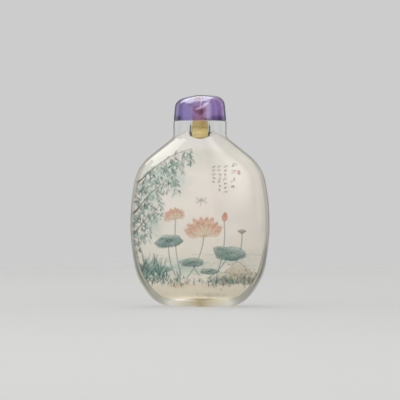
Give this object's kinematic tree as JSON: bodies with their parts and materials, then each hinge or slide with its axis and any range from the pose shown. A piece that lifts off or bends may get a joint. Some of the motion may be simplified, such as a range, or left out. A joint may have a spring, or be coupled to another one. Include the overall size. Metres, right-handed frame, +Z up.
{
  "type": "snuff bottle",
  "caption": "Flattened clear glass bottle with a colour picture on its inner wall, a short round neck and a domed purple stone stopper on a cork.",
  "frame": {"origin": "middle of the flat base, on the surface it stands on", "axes": "+Z up through the neck, -Y out of the broad painted front, +X to the right seen from the front"},
  "size_m": [0.0528, 0.026, 0.08],
  "materials": {
    "glass": "clear polished glass, frosted inside the cavity",
    "painting": "thin ink and mineral colours on the frosted inner wall, cream ground with sage, teal, peach and grey",
    "amethyst": "polished translucent purple quartz with pale veils",
    "cork": "natural tan cork, matte"
  },
  "bodies": {
    "root": {"bottle": "glass", "stopper": "amethyst", "cork": "cork"}
  },
  "joints": []
}
